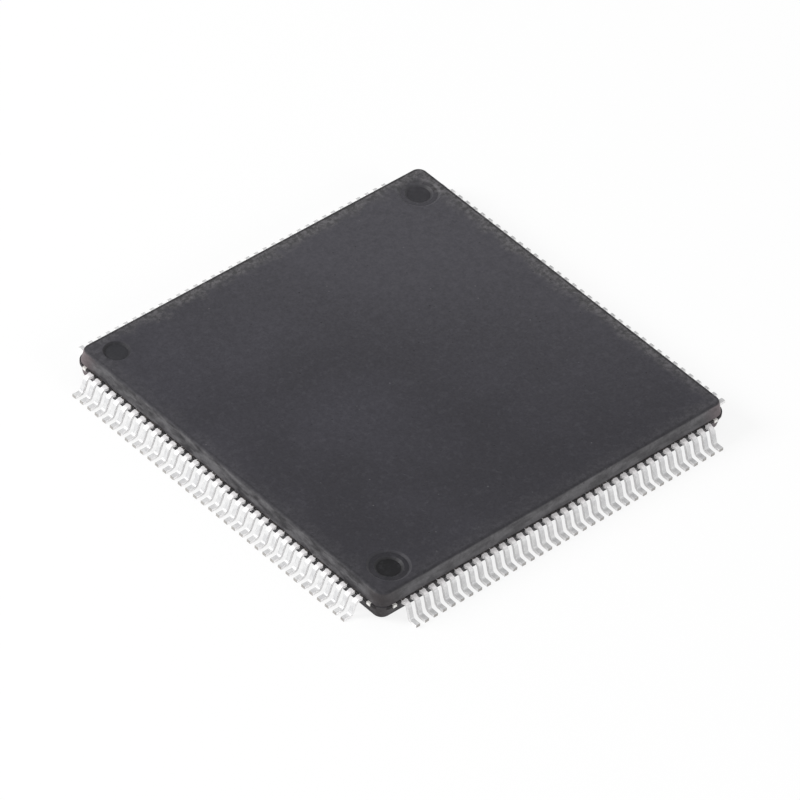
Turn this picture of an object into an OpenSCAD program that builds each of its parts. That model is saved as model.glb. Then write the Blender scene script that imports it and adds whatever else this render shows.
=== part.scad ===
// Quad flat pack chip: a moulded square body with a row of gull-wing leads on each of its four sides.
// The board it stands on is the plane z = 0, the body is centred on the Z axis, and sizes are millimetres.
// Lead 1 is at the back end of the left side, and the count goes left, front, right, back.

/* [Package] */
// Number of leads along each side
leads_per_side = 36; // [28:1:40]
// Distance between the middles of neighbouring leads
pitch = 0.5; // [0.45:0.01:0.6]
// Distance along the side from the middle of an end lead to the body's corner
corner_margin = 1.25; // [1.15:0.05:1.6]
// Thickness of the moulded body
body_t = 1.4; // [1.2:0.05:1.6]
// Gap between the body and the board
standoff = 0.08; // [0.05:0.01:0.15]

/* [Moulding] */
// Lean of the side walls above and below the parting band, in degrees
draft = 12; // [5:1:14]
// Radius of the body's four upright corners, at the parting band
corner_r = 0.6; // [0.5:0.05:0.9]
// Radius along the edges of the top face and the underside
edge_r = 0.15; // [0.05:0.01:0.2]
// How far the parting band stands out from the walls
band_out = 0.05; // [0.02:0.01:0.08]

/* [Marks in the top face] */
// Diameter of the round mark beside lead 1
index_d = 1.25; // [0.6:0.01:1.4]
// Depth of the mark beside lead 1
index_depth = 0.1; // [0.04:0.01:0.2]
// Distance of the mark beside lead 1 from the two nearest sides
index_inset = 1.3; // [1.1:0.05:2]
// Diameter of the marks that the mould's ejector pins leave in two corners
ejector_d = 1.95; // [1.6:0.05:2]
// Depth of the ejector marks
ejector_depth = 0.07; // [0.03:0.01:0.12]
// Diameter of the deeper round pit in the middle of an ejector mark
pit_d = 1.3; // [0.8:0.05:1.3]
// Depth of that pit below the ejector mark's floor
pit_depth = 0.08; // [0.03:0.01:0.12]
// Distances of one ejector mark from the left side and the front side
front_mark_inset = [1.67, 1.44]; // [1.4:0.01:2.5]
// Distances of the other ejector mark from the right side and the back side
back_mark_inset = [1.42, 1.5]; // [1.4:0.01:2.5]
// Width of the slope round the rim of every mark
rim = 0.12; // [0.02:0.01:0.15]

/* [Marks in the underside] */
// Diameter of the four shallow ejector marks
under_d = 1.5; // [0.8:0.1:2]
// Depth of the four shallow ejector marks
under_depth = 0.05; // [0.02:0.01:0.1]
// Distance of these marks from the two nearest sides
under_inset = 2.5; // [1.5:0.1:4]

/* [Leads] */
// Width of a lead
lead_w = 0.22; // [0.17:0.01:0.27]
// Thickness of the sheet that leads, pad and tie bars are stamped from
lead_t = 0.14; // [0.1:0.01:0.2]
// How far a lead reaches out from the body's side
lead_reach = 1; // [0.95:0.01:1.3]
// Length of the foot, from its end to the middle of the riser at gauge height
foot_l = 0.5; // [0.42:0.01:0.54]
// Lean of the riser from upright, in degrees
riser_lean = 18; // [8:1:25]
// Radius inside the two bends
bend_r = 0.12; // [0.08:0.01:0.16]
// How far the cut stubs of the dam bar stand out from a lead's edges
stub_out = 0.03; // [0.01:0.01:0.06]
// Length of these stubs along the lead
stub_l = 0.1; // [0.05:0.01:0.12]

/* [Inner leads and pad] */
// Length of a lead inside the body before it turns towards the die
anchor_l = 0.6; // [0.3:0.05:0.8]
// Width of a lead's inner end
tip_w = 0.13; // [0.09:0.01:0.15]
// Gap between the pad's edge and the inner ends of the leads
tip_gap = 1.2; // [0.8:0.05:1.6]
// Distance from the last inner end to the corner of the square that the ends lie on
tip_corner = 0.42; // [0.35:0.01:0.8]
// Width of the square pad under the die
pad_w = 8; // [7:0.1:8.5]
// How far the pad lies below the leads
pad_drop = 0.2; // [0.16:0.01:0.26]
// Length over which a tie bar slopes down to the pad
drop_run = 0.5; // [0.3:0.05:0.8]
// Width of a tie bar and of its two cut ends
tie_w = 0.2; // [0.12:0.01:0.24]
// How far a tie bar's cut ends stand out from the body's side
tie_out = 0.06; // [0.02:0.01:0.15]

/* [Die and bond wires] */
// Width of the square silicon die
die_w = 6.2; // [5:0.1:6.8]
// Thickness of the die
die_t = 0.28; // [0.15:0.01:0.3]
// Thickness of the adhesive under the die
glue_t = 0.03; // [0.02:0.01:0.05]
// Width of the adhesive that shows round the die
glue_rim = 0.06; // [0.02:0.01:0.15]
// Thickness of a bond wire
wire_t = 0.03; // [0.02:0.005:0.04]
// Rise of a wire's loop above the straight line between its bonds
wire_rise = 0.15; // [0.1:0.01:0.2]
// Length of each bond, where the wire's end is pressed flat
bond_l = 0.08; // [0.05:0.01:0.1]
// Thickness of the wire's end in a bond
bond_t = 0.02; // [0.01:0.005:0.03]
// Distance from the die's edge to where the wires rise from their bonds
bond_inset = 0.1; // [0.06:0.01:0.2]
// Distance from the last bond on a side of the die to the die's corner
bond_corner = 0.4; // [0.3:0.05:0.8]
// Distance of the bonds on the leads from the leads' inner ends
bond_land = 0.15; // [0.1:0.01:0.3]

/* [Hidden] */
$fn = 48;
over = 0.02;              // overrun of a cutter past the face that it cuts
bend_steps = 5;           // flat strips along the arc of a lead's bend
loop_steps = 4;           // flat strips along the loop of a bond wire

// Turn from the right side, where the shapes are drawn, to each of the four sides
right_side = 0;
back_side = 90;
left_side = 180;
front_side = 270;
sides = [right_side, back_side, left_side, front_side];

// Body
row_half = (leads_per_side - 1) * pitch / 2;
body_half = row_half + corner_margin;
body_top = standoff + body_t;
lead_mid = standoff + body_t / 2;
lead_top = lead_mid + lead_t / 2;
corner_at = body_half - corner_r;

// Bent part of a lead, along its middle line
gauge_height = 0.25;      // where the length of a foot is measured
tip_x = body_half + lead_reach;
turn = 90 - riser_lean;
mid_r = bend_r + lead_t / 2;
bend_reach = mid_r * tan(turn / 2);
foot_mid = lead_t / 2;
heel_x = tip_x - foot_l + (gauge_height - foot_mid) * tan(riser_lean);
shoulder_corner_x = heel_x - (lead_mid - foot_mid) * tan(riser_lean);
shoulder_x = shoulder_corner_x - bend_reach;
foot_x = heel_x + bend_reach;
stub_x = (body_half + shoulder_x - stub_l) / 2;

// Inner leads and pad
tips_half = pad_w / 2 + tip_gap;
tip_ratio = (tips_half - tip_corner) / row_half;
anchor_x = body_half - anchor_l;
tie_y = row_half + pitch;
pad_mid = lead_mid - pad_drop;
pad_top = pad_mid + lead_t / 2;

// Die and bond wires
die_bottom = pad_top + glue_t;
die_top = die_bottom + die_t;
bond_x = die_w / 2 - bond_inset;
bond_ratio = (die_w / 2 - bond_corner) / row_half;
land_x = tips_half + bond_land;

// Place of lead i along its side
function lead_y(i) = i * pitch - row_half;

// Middle of the slanting part of lead i at the distance x from the body's middle
function slant_y(i, x) =
    lead_y(i) * (tip_ratio + (1 - tip_ratio) * (x - tips_half) / (anchor_x - tips_half));

// A point at the given distance and angle
function polar(r, a) = [r * cos(a), r * sin(a)];

// ---------------------------------------------------------------- moulded body

// Section of the body's upper half outside the corner's centre: drafted wall, rounded top edge.
// x is the distance from the corner's centre and y the height above the leads' middle.
module upper_section() {
    foot_w = corner_r - band_out;
    height = body_t / 2;
    band_top = lead_t / 2;
    arc_y = height - edge_r;
    arc_x = foot_w - (arc_y - band_top) * tan(draft) - edge_r / cos(draft);
    polygon([
        [0, 0],
        [foot_w, 0],
        [foot_w, band_top],
        [arc_x, arc_y] + polar(edge_r, draft),
        [arc_x, arc_y],
        [arc_x, height],
        [0, height],
    ]);
    translate([arc_x, arc_y]) circle(edge_r);
}

// Whole section: both halves and the band at the parting plane, as thick as the leads
module edge_section() {
    upper_section();
    mirror([0, 1]) upper_section();
    translate([0, -lead_t / 2]) square([corner_r, lead_t]);
}

// The section swept round the four corners and along the four sides, filled in the middle
module body_blank() {
    translate([0, 0, lead_mid]) {
        cube([2 * corner_at, 2 * corner_at, body_t], center = true);
        for (side = sides) rotate(side) {
            translate([corner_at, corner_at, 0]) rotate_extrude(angle = 90) edge_section();
            translate([corner_at, corner_at, 0])
                rotate([90, 0, 0]) linear_extrude(2 * corner_at) edge_section();
        }
    }
}

// Cutter for a round mark: flat floor at the given depth and a sloping rim
module round_mark(d, depth) {
    floor_d = d - 2 * rim;
    rise = 1 + over / depth;
    translate([0, 0, -depth]) cylinder(d1 = floor_d, d2 = floor_d + 2 * rim * rise, h = depth * rise);
}

// Cutter for an ejector mark with its deeper pit
module ejector_mark() {
    round_mark(ejector_d, ejector_depth);
    translate([0, 0, -ejector_depth]) round_mark(pit_d, pit_depth);
}

module marks() {
    corner = [body_half, body_half];
    index_at = body_half - index_inset;
    under_at = body_half - under_inset;
    translate([-index_at, index_at, body_top]) round_mark(index_d, index_depth);
    translate([0, 0, body_top]) {
        translate(front_mark_inset - corner) ejector_mark();
        translate(corner - back_mark_inset) ejector_mark();
    }
    for (side = sides) rotate(side)
        translate([under_at, under_at, standoff]) mirror([0, 0, 1]) round_mark(under_d, under_depth);
}

// One epoxy moulding, cast round everything that it holds
module body() {
    color("#434247") difference() {
        body_blank();
        marks();
        for (side = sides) rotate(side) {
            for (i = [0 : leads_per_side - 1]) {
                flat_lead(i);
                wire(i, over);
            }
        }
        pad_and_ties();
        glue_block();
        die_block();
    }
}

// ---------------------------------------------------------------- leads

// Edge of lead i, from its inner end to its shoulder; edge is -1 or 1
function lead_edge(i, edge) =
    let (
        tip = [tips_half, slant_y(i, tips_half) + edge * tip_w / 2],
        near = lead_y(i) + edge * lead_w / 2,
        far = near + edge * stub_out
    )
    [tip, [anchor_x, near], [stub_x, near], [stub_x, far], [stub_x + stub_l, far],
        [stub_x + stub_l, near], [shoulder_x, near]];

// Flat part of lead i: inner end, slant, anchor, cut stubs of the dam bar, shoulder
module flat_lead(i) {
    near_edge = lead_edge(i, -1);
    far_edge = lead_edge(i, 1);
    back = [for (k = [len(far_edge) - 1 : -1 : 0]) far_edge[k]];
    translate([0, 0, lead_mid - lead_t / 2]) linear_extrude(lead_t) polygon(concat(near_edge, back));
}

// Points along an arc
function arc(centre, r, from, to) =
    [for (k = [0 : bend_steps]) centre + polar(r, from + (to - from) * k / bend_steps)];

// Section of the bent part, seen along the side: shoulder, bend, leaning riser, bend and foot
module gull_wing_section() {
    bend = [shoulder_x, lead_mid - mid_r];
    heel = [foot_x, foot_mid + mid_r];
    outer_r = bend_r + lead_t;
    polygon(concat(
        [[body_half, lead_top]],
        arc(bend, outer_r, 90, riser_lean),
        arc(heel, bend_r, 180 + riser_lean, 270),
        [[tip_x, lead_t], [tip_x, 0]],
        arc(heel, outer_r, 270, 180 + riser_lean),
        arc(bend, bend_r, riser_lean, 90),
        [[body_half, lead_top - lead_t]]
    ));
}

module lead(i) {
    flat_lead(i);
    translate([0, lead_y(i) + lead_w / 2, 0])
        rotate([90, 0, 0]) linear_extrude(lead_w) gull_wing_section();
}

module lead_row(side) {
    color("#d5d6d8") rotate(side)
        for (i = [0 : leads_per_side - 1]) lead(i);
}

// ---------------------------------------------------------------- pad and tie bars

// Side view of a tie bar from the pad's corner to the fork, sloping down to the pad
module tie_section() {
    pad_corner = pad_w / 2 * sqrt(2);
    fork = tie_y * sqrt(2);
    slope_x = pad_corner + drop_run / 2;
    translate([0, -lead_t / 2]) polygon([
        [pad_corner - tie_w, pad_mid],
        [slope_x, pad_mid],
        [slope_x + drop_run, lead_mid],
        [fork, lead_mid],
        [fork, lead_mid + lead_t],
        [slope_x + drop_run, lead_mid + lead_t],
        [slope_x, pad_mid + lead_t],
        [pad_corner - tie_w, pad_mid + lead_t],
    ]);
}

// A tie bar with its fork, whose two ends are cut off just outside the body
module tie_bar() {
    end_l = body_half + tie_out - tie_y + tie_w / 2;
    rotate(45) translate([0, tie_w / 2, 0]) rotate([90, 0, 0]) linear_extrude(tie_w) tie_section();
    translate([tie_y - tie_w / 2, tie_y - tie_w / 2, lead_mid - lead_t / 2]) {
        cube([end_l, tie_w, lead_t]);
        cube([tie_w, end_l, lead_t]);
    }
}

// The pad and its four tie bars, stamped from the same sheet as the leads
module pad_and_ties() {
    translate([0, 0, pad_mid]) cube([pad_w, pad_w, lead_t], center = true);
    for (side = sides) rotate(side) tie_bar();
}

module die_pad() {
    color("#c9c6bd") pad_and_ties();
}

// ---------------------------------------------------------------- die and bond wires

module glue_block() {
    glue_w = die_w + 2 * glue_rim;
    translate([-glue_w / 2, -glue_w / 2, pad_top]) cube([glue_w, glue_w, glue_t]);
}

module die_block() {
    translate([-die_w / 2, -die_w / 2, die_bottom]) cube([die_w, die_w, die_t]);
}

module die_glue() {
    color("#b9b4a6") glue_block();
}

module die() {
    color("#5b6270") die_block();
}

// Height of a loop at a share of its length, above the straight line between its bonds: a parabola
function loop_height(share) = 4 * wire_rise * share * (1 - share);

// Edge of a wire seen from the side, from bond to bond: its distance from the first bond and its height.
// run is the level distance between the bonds. The edge lies t above the wire's underside, and at its
// two ends end_t above the die and the lead, or below them where end_t is negative.
function wire_edge(run, t, end_t) = concat(
    [[-bond_l, die_top + end_t]],
    [for (k = [0 : loop_steps])
        let (share = k / loop_steps)
        [run * share, die_top + (lead_top - die_top) * share + loop_height(share) + t]],
    [[run + bond_l, lead_top + end_t]]
);

// Bond wire i, from the top of the die to the top of its lead. As a cutter it has its ends sunk
// into the die and the lead.
module wire(i, sunk = 0) {
    start = [bond_x, lead_y(i) * bond_ratio];
    span = [land_x, slant_y(i, land_x)] - start;
    under = wire_edge(norm(span), 0, -sunk);
    upper = wire_edge(norm(span), wire_t, bond_t);
    back = [for (k = [len(upper) - 1 : -1 : 0]) upper[k]];
    translate(start) rotate(atan2(span.y, span.x)) translate([0, wire_t / 2, 0])
        rotate([90, 0, 0]) linear_extrude(wire_t) polygon(concat(under, back));
}

module wire_row(side) {
    color("#c98a55") rotate(side)
        for (i = [0 : leads_per_side - 1]) wire(i);
}

body();
lead_row(left_side);  // left_leads
lead_row(front_side);  // front_leads
lead_row(right_side);  // right_leads
lead_row(back_side);  // back_leads
die_pad();
die_glue();
die();
wire_row(left_side);  // left_wires
wire_row(front_side);  // front_wires
wire_row(right_side);  // right_wires
wire_row(back_side);  // back_wires
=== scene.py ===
import math
import random

import bmesh
import bpy
from mathutils import Matrix, Vector


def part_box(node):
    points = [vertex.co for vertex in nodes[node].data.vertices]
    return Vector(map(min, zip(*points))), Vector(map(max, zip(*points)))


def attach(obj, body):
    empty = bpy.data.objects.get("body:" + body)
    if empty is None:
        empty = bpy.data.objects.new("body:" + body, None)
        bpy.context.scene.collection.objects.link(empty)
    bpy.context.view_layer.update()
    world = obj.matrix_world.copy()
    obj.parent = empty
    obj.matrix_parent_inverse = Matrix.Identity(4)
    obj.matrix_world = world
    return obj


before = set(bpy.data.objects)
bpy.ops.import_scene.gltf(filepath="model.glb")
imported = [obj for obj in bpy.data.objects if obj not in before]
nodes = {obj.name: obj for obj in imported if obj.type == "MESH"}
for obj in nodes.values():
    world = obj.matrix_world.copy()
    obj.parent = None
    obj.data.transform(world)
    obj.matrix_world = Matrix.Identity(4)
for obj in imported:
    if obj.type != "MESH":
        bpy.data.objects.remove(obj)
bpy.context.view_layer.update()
scene = bpy.context.scene

# ---------------------------------------------------------------- the view
# The chip lies flat and is looked down on over its near corner, through a long lens,
# so that its opposite sides look all but parallel.

MM = 0.001
view_azimuth = math.radians(-44.6764)
view_height = math.radians(42.2902)
view_roll = math.radians(4.5023)
view_distance = 318.2619 * MM
view_aside = Vector((0.0132 * MM, -0.0177 * MM, 0))
lens_mm = 331.79
sensor_mm = 36.0
nearest_seen = 0.01
farthest_seen = 10

camera = bpy.data.objects.new("camera", bpy.data.cameras.new("camera"))
scene.collection.objects.link(camera)
scene.camera = camera
camera.data.sensor_width = sensor_mm
camera.data.lens = lens_mm
camera.data.clip_start = nearest_seen
camera.data.clip_end = farthest_seen

to_camera = Vector((
    math.sin(view_azimuth) * math.cos(view_height),
    -math.cos(view_azimuth) * math.cos(view_height),
    math.sin(view_height),
))
level_right = Vector((math.cos(view_azimuth), math.sin(view_azimuth), 0))
level_up = to_camera.cross(level_right)
level = Matrix((level_right, level_up, to_camera)).transposed()
turned = level @ Matrix.Rotation(view_roll, 3, "Z")
camera.matrix_world = (
    Matrix.Translation(turned @ (view_aside + Vector((0, 0, view_distance))))
    @ turned.to_4x4()
)

# ---------------------------------------------------------------- light and floor
# A white sweep of paper under and behind the chip, a soft lamp from the left and a little
# behind, a weaker one that fills in the front side, and an even glow from all round.

scene.view_settings.view_transform = "Standard"
white = (1, 1, 1, 1)
key_from = Vector((-0.70, 0.58, 0.58))
key_power = 0.80
fill_from = Vector((0.30, -0.90, 0.42))
fill_power = 0.25
lamp_distance = 0.30
lamp_size = 0.14
glow = 0.58                # strength of the surroundings as a light
floor_w = 3.0
floor_gap = 0.002 * MM     # keeps the paper just clear of the feet
paper_grey = (0.86, 0.86, 0.86, 1)
paper_glow = 0.85          # how much of its own white the paper shows


def nodes_of(owner):
    """Empties the node tree of a material or a world and returns its nodes and links."""
    owner.use_nodes = True
    owner.node_tree.nodes.clear()
    return owner.node_tree.nodes, owner.node_tree.links


def any_ray(tree_nodes, tree_links, *kinds):
    """A socket that is 1 for the named kinds of ray and 0 for all others."""
    path = tree_nodes.new("ShaderNodeLightPath")
    found = path.outputs[kinds[0]]
    for kind in kinds[1:]:
        either = tree_nodes.new("ShaderNodeMath")
        either.operation = "MAXIMUM"
        tree_links.new(found, either.inputs[0])
        tree_links.new(path.outputs[kind], either.inputs[1])
        found = either.outputs[0]
    return found


def soft_lamp(name, direction, power):
    """A round soft lamp that shines on the chip from the given direction."""
    lamp = bpy.data.objects.new(name, bpy.data.lights.new(name, "AREA"))
    lamp.data.shape = "DISK"
    lamp.data.size = lamp_size
    lamp.data.energy = power
    lamp.matrix_world = (
        Matrix.Translation(direction.normalized() * lamp_distance)
        @ direction.to_track_quat("Z", "Y").to_matrix().to_4x4()
    )
    scene.collection.objects.link(lamp)


soft_lamp("key_lamp", key_from, key_power)
soft_lamp("fill_lamp", fill_from, fill_power)

# The surroundings are plain white where they are seen or mirrored, and dimmer as a light
world = bpy.data.worlds.new("surroundings")
scene.world = world
wn, wl = nodes_of(world)
world_out = wn.new("ShaderNodeOutputWorld")
seen = wn.new("ShaderNodeBackground")
seen.inputs["Color"].default_value = white
seen.inputs["Strength"].default_value = 1.0
lit = wn.new("ShaderNodeBackground")
lit.inputs["Color"].default_value = white
lit.inputs["Strength"].default_value = glow
world_mix = wn.new("ShaderNodeMixShader")
looked_at = any_ray(wn, wl, "Is Camera Ray", "Is Transmission Ray", "Is Glossy Ray")
wl.new(looked_at, world_mix.inputs["Fac"])
wl.new(lit.outputs[0], world_mix.inputs[1])
wl.new(seen.outputs[0], world_mix.inputs[2])
wl.new(world_mix.outputs[0], world_out.inputs["Surface"])

# The paper: matt white, with a share of its own white where it is seen, so its shadows stay faint
paper = bpy.data.materials.new("white_paper")
pn, pl = nodes_of(paper)
paper_out = pn.new("ShaderNodeOutputMaterial")
matt = pn.new("ShaderNodeBsdfDiffuse")
matt.inputs["Color"].default_value = paper_grey
own_white = pn.new("ShaderNodeEmission")
own_white.inputs["Color"].default_value = white
own_white.inputs["Strength"].default_value = 1.0
glow_share = pn.new("ShaderNodeMath")
glow_share.operation = "MULTIPLY"
pl.new(any_ray(pn, pl, "Is Camera Ray", "Is Glossy Ray"), glow_share.inputs[0])
glow_share.inputs[1].default_value = paper_glow
paper_mix = pn.new("ShaderNodeMixShader")
pl.new(glow_share.outputs[0], paper_mix.inputs["Fac"])
pl.new(matt.outputs[0], paper_mix.inputs[1])
pl.new(own_white.outputs[0], paper_mix.inputs[2])
pl.new(paper_mix.outputs[0], paper_out.inputs["Surface"])

sheet = bmesh.new()
bmesh.ops.create_grid(sheet, x_segments=1, y_segments=1, size=floor_w / 2)
floor_mesh = bpy.data.meshes.new("paper_floor")
sheet.to_mesh(floor_mesh)
sheet.free()
floor = bpy.data.objects.new("paper_floor", floor_mesh)
floor.data.materials.append(paper)
floor.location.z = -floor_gap
scene.collection.objects.link(floor)

# ---------------------------------------------------------------- moulded body
# The body is black epoxy with a mineral filler, pressed into a spark-eroded steel mould.
# That leaves a matt, finely pitted skin, paler on the walls and along the edges of the top, partly
# as painted light.

body_low, body_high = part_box("body")
body_half = body_high.x
parting_z = (body_high.z + body_low.z) / 2


def srgb(r, g, b):
    """A colour given in the 0 to 255 steps of a colour chart, as the shader wants it."""
    def linear(c):
        c /= 255
        return c / 12.92 if c <= 0.04045 else ((c + 0.055) / 1.055) ** 2.4
    return linear(r), linear(g), linear(b), 1.0


class Maker:
    """Adds shader nodes to one material and joins them up."""

    def __init__(self, material):
        self.nodes, self.links = nodes_of(material)
        place = self.nodes.new("ShaderNodeTexCoord").outputs["Object"]
        in_mm = self.nodes.new("ShaderNodeVectorMath")
        in_mm.operation = "SCALE"
        self.links.new(place, in_mm.inputs[0])
        in_mm.inputs["Scale"].default_value = 1 / MM
        self.mm = in_mm.outputs[0]
        out = self.nodes.new("ShaderNodeOutputMaterial")
        self.skin = self.nodes.new("ShaderNodeBsdfPrincipled")
        self.links.new(self.skin.outputs[0], out.inputs["Surface"])

    def put(self, socket, value):
        """Joins a value to a socket, or sets it where it is a plain number or colour."""
        if isinstance(value, bpy.types.NodeSocket):
            self.links.new(value, socket)
        else:
            socket.default_value = value

    def parts_of(self, vector):
        """The X, Y and Z of a vector, each as a socket."""
        node = self.nodes.new("ShaderNodeSeparateXYZ")
        self.put(node.inputs[0], vector)
        return node.outputs[0], node.outputs[1], node.outputs[2]

    def facing(self):
        """The X, Y and Z of the direction that the surface faces."""
        return self.parts_of(self.nodes.new("ShaderNodeNewGeometry").outputs["Normal"])

    def math(self, operation, a, b=0.0):
        """One sum: the operation on a and b."""
        node = self.nodes.new("ShaderNodeMath")
        node.operation = operation
        self.put(node.inputs[0], a)
        self.put(node.inputs[1], b)
        return node.outputs[0]

    def size_of(self, a):
        """The value without its sign."""
        return self.math("ABSOLUTE", a)

    def times(self, a, b):
        """The two values multiplied."""
        return self.math("MULTIPLY", a, b)

    def less(self, a, b):
        """The first value less the second."""
        return self.math("SUBTRACT", a, b)

    def ramp(self, value, low, high, to_low=0.0, to_high=1.0):
        """Goes smoothly from to_low to to_high while the value goes from low to high."""
        node = self.nodes.new("ShaderNodeMapRange")
        node.interpolation_type = "SMOOTHSTEP"
        self.put(node.inputs["Value"], value)
        node.inputs["From Min"].default_value = low
        node.inputs["From Max"].default_value = high
        node.inputs["To Min"].default_value = to_low
        node.inputs["To Max"].default_value = to_high
        return node.outputs["Result"]

    def noise(self, per_mm, detail=4.0, rough=0.6, stretch=(1, 1, 1), seed=0.0):
        """Cloudy noise with about per_mm blots to the millimetre."""
        spread = self.nodes.new("ShaderNodeMapping")
        self.put(spread.inputs["Vector"], self.mm)
        spread.inputs["Scale"].default_value = stretch
        spread.inputs["Location"].default_value = (seed, seed, seed)
        node = self.nodes.new("ShaderNodeTexNoise")
        self.put(node.inputs["Vector"], spread.outputs[0])
        node.inputs["Scale"].default_value = per_mm
        node.inputs["Detail"].default_value = detail
        node.inputs["Roughness"].default_value = rough
        return node.outputs["Fac"]

    def specks(self, per_mm, radius, seed=0.0):
        """Small round dots scattered over the surface, one for each cell."""
        spread = self.nodes.new("ShaderNodeMapping")
        self.put(spread.inputs["Vector"], self.mm)
        spread.inputs["Location"].default_value = (seed, seed, seed)
        node = self.nodes.new("ShaderNodeTexVoronoi")
        self.put(node.inputs["Vector"], spread.outputs[0])
        node.inputs["Scale"].default_value = per_mm
        return self.ramp(node.outputs["Distance"], radius * 0.6, radius, 1.0, 0.0)

    def mix(self, share, a, b, blend="MIX"):
        """Colour a with a share of colour b laid over it."""
        node = self.nodes.new("ShaderNodeMix")
        node.data_type = "RGBA"
        node.blend_type = blend
        self.put(node.inputs["Factor"], share)
        self.put(node.inputs[6], a)
        self.put(node.inputs[7], b)
        return node.outputs[2]

    def bump(self, height, deep, before=None):
        """Bump in true depth: a height of 1 stands deep metres out of the surface."""
        node = self.nodes.new("ShaderNodeBump")
        node.inputs["Distance"].default_value = deep
        self.put(node.inputs["Height"], height)
        if before is not None:
            self.put(node.inputs["Normal"], before)
        return node.outputs[0]


# Widths in from the body's widest line, in millimetres
half_mm = body_half / MM
strip_w = 1.1              # the paler strip of painted sheen along the far edges of the top
strip_full_w = 0.4
marks_from = 0.5           # the round marks lie further in than this
edge_line_w = 0.36
corner_w = 1.6             # how far a corner's own shade runs along the walls
corner_full_w = 0.3
ledge_w = 0.06             # the ledge at the parting plane
ledge_half_t = 0.085
deepest = 0.16             # depth at which the painted shade on a mark's floor is darkest

# How deep the grain and the pits are, in metres
grain_deep = 5e-6
pits_deep = 6e-6

# The resin's shades
middle_tone, middle_cloud = srgb(46, 45, 50), srgb(55, 54, 60)
sheen_tone = srgb(72, 71, 76)
strip_dark, strip_pale = srgb(62, 62, 61), srgb(102, 100, 102)
green_floor, rim_painted_shade = srgb(36, 41, 39), srgb(14, 14, 15)
edge_dark = srgb(34, 33, 35)
wall_dark, wall_pale, wall_front_lit = srgb(50, 49, 51), srgb(94, 93, 95), srgb(112, 111, 113)
corner_brown, corner_pink = srgb(62, 58, 59), srgb(116, 106, 108)
ledge_painted_shade = srgb(30, 28, 29)
grain_dark, pit_dark = srgb(34, 33, 36), srgb(26, 25, 28)
blot_dark, blot_pale = srgb(44, 43, 47), srgb(92, 91, 96)
fleck_pale = srgb(100, 99, 102)

moulding = bpy.data.materials.new("moulding")
m = Maker(moulding)
x_mm, y_mm, z_mm = m.parts_of(m.mm)
_, facing_y, facing_z = m.facing()
flatness = m.size_of(facing_z)
wall = m.ramp(flatness, 0.35, 0.85, 1.0, 0.0)

grain = m.noise(7.0, detail=5, rough=0.75)
mottle = m.noise(1.1, detail=5, rough=0.65, seed=3.1)
cloud = m.noise(0.16, detail=3, rough=0.5, seed=8.4)
pits = m.specks(2.6, 0.13, seed=1.7)
flecks = m.specks(1.7, 0.08, seed=5.2)

# The broad tone of the top: violet-grey in the middle, with painted sheen making it paler towards
# the corner across from the left and front sides, and a paler mottled strip along the edges there,
# partly painted sheen
reach = m.math("MAXIMUM", m.size_of(x_mm), m.size_of(y_mm))
ragged = m.math("ADD", reach, m.times(m.less(mottle, 0.5), 1.6))
strip = m.ramp(ragged, half_mm - strip_w, half_mm - strip_full_w)
diagonal = m.math("ADD", x_mm, y_mm)
far_sheen = m.ramp(diagonal, -6.0, 16.0)
top_tone = m.mix(m.ramp(cloud, 0.3, 0.7), middle_tone, middle_cloud)
top_tone = m.mix(m.times(far_sheen, 0.8), top_tone, sheen_tone)
sheen_strip_share = m.times(strip, m.ramp(far_sheen, 0.0, 0.5, 0.12, 0.75))
strip_blots = m.ramp(m.noise(4.2, detail=4, rough=0.7, seed=15.2), 0.40, 0.60)
top_tone = m.mix(sheen_strip_share, top_tone, m.mix(strip_blots, strip_dark, strip_pale))

# The floors of the round marks, pressed by the pins' ends, carry painted shade: darker the deeper
# they lie, and darkest at the corner between the left and the front side
pit_shade_tone = m.ramp(diagonal, -16.0, -6.0, 0.12, 0.45)
inner = m.ramp(reach, half_mm - marks_from, half_mm - marks_from + 0.05, 1.0, 0.0)
depth = m.times(inner, m.less(body_high.z / MM, z_mm))
sunk = m.ramp(depth, 0.0, deepest)
pit_painted_shade = m.less(1.0, m.times(sunk, m.less(1.0, pit_shade_tone)))
top_tone = m.mix(1.0, top_tone, pit_painted_shade, blend="MULTIPLY")
mark_slope = m.times(m.ramp(depth, 0.003, 0.01), m.ramp(flatness, 0.93, 0.98, 1.0, 0.0))

# The mark beside lead 1 has a greener floor, and painted shade darkens its rim
beside_lead_1 = m.ramp(m.size_of(diagonal), 4.0, 8.0, 1.0, 0.0)
top_tone = m.mix(m.times(m.times(beside_lead_1, sunk), 0.25), top_tone, green_floor)
top_tone = m.mix(m.times(m.times(beside_lead_1, mark_slope), 0.45), top_tone, rim_painted_shade)
bright_slope = m.times(mark_slope, m.less(1.0, beside_lead_1))

# Along the edge of the top: a thin uneven dark line, stronger on the right and back sides
edge_from = half_mm - edge_line_w
edge_gaps = m.ramp(m.noise(3.2, detail=3, rough=0.6, seed=9.7), 0.30, 0.50, 0.4, 1.0)
edge_line = m.times(m.ramp(reach, edge_from, edge_from + 0.05), edge_gaps)
edge_share = m.ramp(m.math("MAXIMUM", x_mm, y_mm), edge_from - 0.1, edge_from, 0.28, 0.85)
top_tone = m.mix(m.times(edge_line, edge_share), top_tone, edge_dark)
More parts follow.
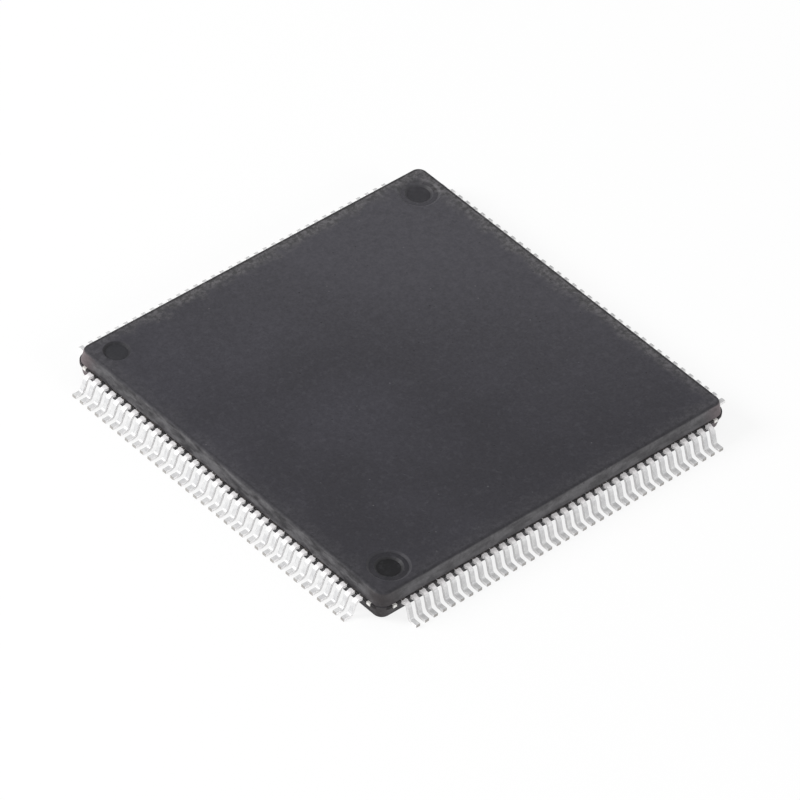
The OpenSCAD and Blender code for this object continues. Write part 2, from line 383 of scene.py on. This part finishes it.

# The walls: paler than the top, partly as painted light, streaked a little along their length, with
# painted light on the front one, and pinker towards the corner beside lead 1 and the one across from
# it
streak = m.noise(2.2, detail=4, rough=0.6, stretch=(0.4, 0.4, 1.6), seed=6.6)
wall_tone = m.mix(m.ramp(streak, 0.36, 0.64), wall_dark, wall_pale)
front_painted_light = m.ramp(m.times(facing_y, -1.0), 0.5, 0.9, 0.0, 0.35)
wall_tone = m.mix(front_painted_light, wall_tone, wall_front_lit)
from_middle = m.math("MINIMUM", m.size_of(x_mm), m.size_of(y_mm))
corner = m.ramp(from_middle, half_mm - corner_w, half_mm - corner_full_w)
across = m.ramp(m.size_of(m.less(x_mm, y_mm)), 2.0, 16.0)
wall_tone = m.mix(m.times(corner, 0.8), wall_tone, m.mix(across, corner_brown, corner_pink))

# The ledge at the parting plane: painted shade darkens it where the leads enter the body
from_parting = m.size_of(m.less(z_mm, parting_z / MM))
ledge_shade = m.times(
    m.ramp(reach, half_mm - ledge_w, half_mm - ledge_w + 0.015),
    m.ramp(from_parting, ledge_half_t - 0.01, ledge_half_t, 1.0, 0.0),
)
tone = m.mix(wall, top_tone, wall_tone)
tone = m.mix(m.times(ledge_shade, 0.85), tone, ledge_painted_shade)

# Grain, blots, pits and pale flecks of filler
tone = m.mix(m.ramp(grain, 0.35, 0.65, 0.0, 0.2), tone, grain_dark)
blots = m.noise(2.6, detail=4, rough=0.7, seed=12.3)
tone = m.mix(m.ramp(blots, 0.52, 0.64, 0.0, 0.22), tone, blot_dark)
tone = m.mix(m.ramp(blots, 0.36, 0.46, 0.08, 0.0), tone, blot_pale)
tone = m.mix(m.times(pits, m.ramp(mottle, 0.48, 0.6, 0.0, 0.6)), tone, pit_dark)
tone = m.mix(m.times(flecks, m.ramp(mottle, 0.48, 0.6, 0.0, 0.5)), tone, fleck_pale)
m.put(m.skin.inputs["Base Color"], tone)
matt_skin = m.ramp(grain, 0.25, 0.75, 0.5, 0.72)
m.put(m.skin.inputs["Roughness"], m.less(matt_skin, m.times(bright_slope, 0.1)))
m.put(m.skin.inputs["Specular IOR Level"], m.ramp(bright_slope, 0.0, 1.0, 0.18, 0.3))
grain_bump = m.bump(grain, grain_deep)
m.put(m.skin.inputs["Normal"], m.bump(m.less(0.0, pits), pits_deep, before=grain_bump))


def finish_with(piece, material):
    """Gives a piece this one material in place of those it has."""
    piece.data.materials.clear()
    piece.data.materials.append(material)


finish_with(nodes["body"], moulding)

# ---------------------------------------------------------------- leads
# The leads are stamped from copper-alloy sheet, plated with matt tin, cut off and bent.
# The plating is finely grained, with painted light making it paler on the shoulders and on the
# sheared sides.
# The cut end of each foot shows the darker bare alloy.

lead_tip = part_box("right_leads")[1].x
cut_depth = 0.012         # in millimetres, like the next one
shoulder_end = 10.28      # where the leads turn down; painted light brightens them up to there
tin_deep = 1.5e-6         # depth of the plating's grain, in metres
tin_dull, tin_pale = srgb(200, 200, 201), srgb(216, 216, 216)
tin_painted_light, tin_side_painted_light = srgb(244, 241, 242), srgb(250, 249, 249)
tin_grain, bare_alloy = srgb(170, 170, 172), srgb(150, 146, 142)

tin = bpy.data.materials.new("tinned_lead")
m = Maker(tin)
x_mm, y_mm, _ = m.parts_of(m.mm)
facing_x, facing_y, _ = m.facing()
grain = m.noise(22.0, detail=4, rough=0.7)
stain = m.noise(2.4, detail=4, rough=0.6, seed=4.3)
reach = m.math("MAXIMUM", m.size_of(x_mm), m.size_of(y_mm))
tone = m.mix(m.ramp(stain, 0.35, 0.65), tin_dull, tin_pale)
lit_shoulder = m.ramp(reach, shoulder_end, shoulder_end + 0.1, 1.0, 0.0)
tone = m.mix(m.times(lit_shoulder, 0.85), tone, tin_painted_light)
tone = m.mix(m.ramp(grain, 0.3, 0.7, 0.0, 0.25), tone, tin_grain)

# The two sheared sides of a lead face along its row: along Y on the left and right sides of the body
along_y = m.math("GREATER_THAN", m.size_of(x_mm), m.size_of(y_mm))
sheared_x = m.times(m.size_of(facing_x), m.less(1.0, along_y))
sheared_y = m.times(m.size_of(facing_y), along_y)
# Painted light makes these sides paler, where they would lie in shade between the leads
sides_lit = m.ramp(m.math("ADD", sheared_x, sheared_y), 0.7, 0.95, 0.0, 0.9)
tone = m.mix(sides_lit, tone, tin_side_painted_light)
cut_end = m.ramp(reach, lead_tip / MM - cut_depth, lead_tip / MM - cut_depth / 2)
tone = m.mix(m.times(cut_end, m.ramp(grain, 0.3, 0.7, 0.6, 1.0)), tone, bare_alloy)
m.put(m.skin.inputs["Base Color"], tone)
m.skin.inputs["Metallic"].default_value = 0.2
m.put(m.skin.inputs["Roughness"], m.ramp(grain, 0.25, 0.75, 0.4, 0.58))
m.put(m.skin.inputs["Normal"], m.bump(grain, tin_deep))

for row in ("left_leads", "front_leads", "right_leads", "back_leads"):
    finish_with(nodes[row], tin)

# ---------------------------------------------------------------- resin between the leads
# While it is moulded, resin creeps out between the leads as far as the dam bar that joins them.
# When the dam bar is punched out, a ragged web of it stays against the body, as thick as the leads.

leads_per_side = 36
pitch = 0.5 * MM
lead_w = 0.22 * MM
lead_t = 0.14 * MM
film_t = 0.006 * MM        # what lies over the lead's own faces
web_root = 0.06 * MM       # how deep the webs start inside the body
web_reach = 0.03 * MM      # how far they stand out over the leads
gap_reach = -0.01 * MM     # and between them
web_ragged = 0.02 * MM
web_sag = 0.03 * MM
web_lean = 0.01 * MM
web_step = 0.04 * MM
web_short = 0.1 * MM       # how far they stop short of one pitch past the last lead
web_end = (leads_per_side + 1) * pitch / 2 - web_short
web_top = parting_z + lead_t / 2 + film_t
web_under = 2 * parting_z - web_top
steps = round(2 * web_end / web_step)
chance = random.Random(7)

webs = bmesh.new()
for quarter in range(4):
    turn = Matrix.Rotation(math.radians(90 * quarter), 3, "Z")
    before = None
    for k in range(steps + 1):
        along = -web_end + 2 * web_end * k / steps
        from_lead = abs((along / pitch) % 1.0 - 0.5) * pitch
        in_gap = from_lead > lead_w / 2
        out = body_half + (gap_reach if in_gap else web_reach) + chance.uniform(-1, 1) * web_ragged
        sag = chance.uniform(0.0, web_sag) if in_gap else 0.0
        section = [webs.verts.new(turn @ Vector(p)) for p in (
            (body_half - web_root, along, web_top - sag / 2),
            (out, along, web_top - sag),
            (out - web_lean, along, web_under + sag),
            (body_half - web_root, along, web_under + sag / 2),
        )]
        if before is None:
            webs.faces.new(section)
        else:
            for c in range(4):
                webs.faces.new((before[c], before[c - 1], section[c - 1], section[c]))
        before = section
    webs.faces.new(before)
bmesh.ops.recalc_face_normals(webs, faces=webs.faces)
web_mesh = bpy.data.meshes.new("resin_webs")
webs.to_mesh(web_mesh)
webs.free()
resin_webs = bpy.data.objects.new("resin_webs", web_mesh)
scene.collection.objects.link(resin_webs)

web_dark, web_pale = srgb(46, 43, 43), srgb(84, 79, 77)
web_deep = 8e-6            # depth of its grain, in metres
bled_resin = bpy.data.materials.new("bled_resin")
m = Maker(bled_resin)
blot = m.noise(9.0, detail=5, rough=0.7)
m.put(m.skin.inputs["Base Color"], m.mix(m.ramp(blot, 0.35, 0.65), web_dark, web_pale))
m.put(m.skin.inputs["Roughness"], m.ramp(blot, 0.3, 0.7, 0.45, 0.7))
m.skin.inputs["Specular IOR Level"].default_value = 0.3
m.put(m.skin.inputs["Normal"], m.bump(blot, web_deep))
resin_webs.data.materials.append(bled_resin)
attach(resin_webs, "root")

# ---------------------------------------------------------------- pad and tie bars
# The pad is part of the same stamped sheet as the leads. It carries the die, and four tie bars
# hold it from the corners; their cut ends show as bright dots beside each corner of the body.

rolled_dark, rolled_pale = srgb(214, 212, 208), srgb(240, 239, 236)
rolled_deep = 1e-6         # depth of the marks of rolling, in metres
sheet_metal = bpy.data.materials.new("bare_frame")
m = Maker(sheet_metal)
rolled = m.noise(3.0, detail=4, rough=0.6, stretch=(1, 14, 1))
m.put(m.skin.inputs["Base Color"], m.mix(rolled, rolled_dark, rolled_pale))
m.skin.inputs["Metallic"].default_value = 0.45
m.put(m.skin.inputs["Roughness"], m.ramp(rolled, 0.3, 0.7, 0.28, 0.45))
m.put(m.skin.inputs["Normal"], m.bump(rolled, rolled_deep))
finish_with(nodes["die_pad"], sheet_metal)

# ---------------------------------------------------------------- die and its glue
# The die is sawn silicon with a faint pattern of cells on its face.
# It is glued down on the pad with epoxy filled with silver flakes, which squeezes out round it.

glue_dark, glue_pale = srgb(150, 146, 138), srgb(204, 200, 192)
flake_deep = 2e-6          # depth of the flakes' grain, in metres
cell_w, cell_h, cell_gap = 0.9, 0.62, 0.02    # in millimetres
cell_blue, cell_violet = srgb(88, 96, 114), srgb(104, 98, 120)
cell_line, cell_sheen = srgb(58, 62, 72), srgb(78, 92, 98)

silver_glue = bpy.data.materials.new("silver_glue")
m = Maker(silver_glue)
flake = m.noise(30.0, detail=3, rough=0.7)
m.put(m.skin.inputs["Base Color"], m.mix(flake, glue_dark, glue_pale))
m.skin.inputs["Metallic"].default_value = 0.3
m.put(m.skin.inputs["Roughness"], m.ramp(flake, 0.3, 0.7, 0.45, 0.7))
m.put(m.skin.inputs["Normal"], m.bump(flake, flake_deep))
finish_with(nodes["die_glue"], silver_glue)

silicon = bpy.data.materials.new("silicon")
m = Maker(silicon)
cells = m.nodes.new("ShaderNodeTexBrick")
m.put(cells.inputs["Vector"], m.mm)
cells.inputs["Scale"].default_value = 1.0
cells.inputs["Brick Width"].default_value = cell_w
cells.inputs["Row Height"].default_value = cell_h
cells.inputs["Mortar Size"].default_value = cell_gap
cells.inputs["Color1"].default_value = cell_blue
cells.inputs["Color2"].default_value = cell_violet
cells.inputs["Mortar"].default_value = cell_line
m.put(m.skin.inputs["Base Color"], m.mix(m.noise(18.0), cells.outputs["Color"], cell_sheen))
m.skin.inputs["Metallic"].default_value = 0.5
m.put(m.skin.inputs["Roughness"], m.ramp(m.noise(6.0, seed=2.0), 0.3, 0.7, 0.12, 0.22))
finish_with(nodes["die"], silicon)

# ---------------------------------------------------------------- bond wires
# Each wire is drawn copper, thinner than a hair.
# It is welded by heat and ultrasound to the die and to the inner end of a lead.

copper_dark, copper_pale = srgb(196, 128, 84), srgb(222, 160, 112)
copper = bpy.data.materials.new("bond_wire")
m = Maker(copper)
drawn = m.noise(25.0, detail=3, rough=0.6)
m.put(m.skin.inputs["Base Color"], m.mix(drawn, copper_dark, copper_pale))
m.skin.inputs["Metallic"].default_value = 0.9
m.put(m.skin.inputs["Roughness"], m.ramp(drawn, 0.3, 0.7, 0.2, 0.34))
for row in ("left_wires", "front_wires", "right_wires", "back_wires"):
    finish_with(nodes[row], copper)
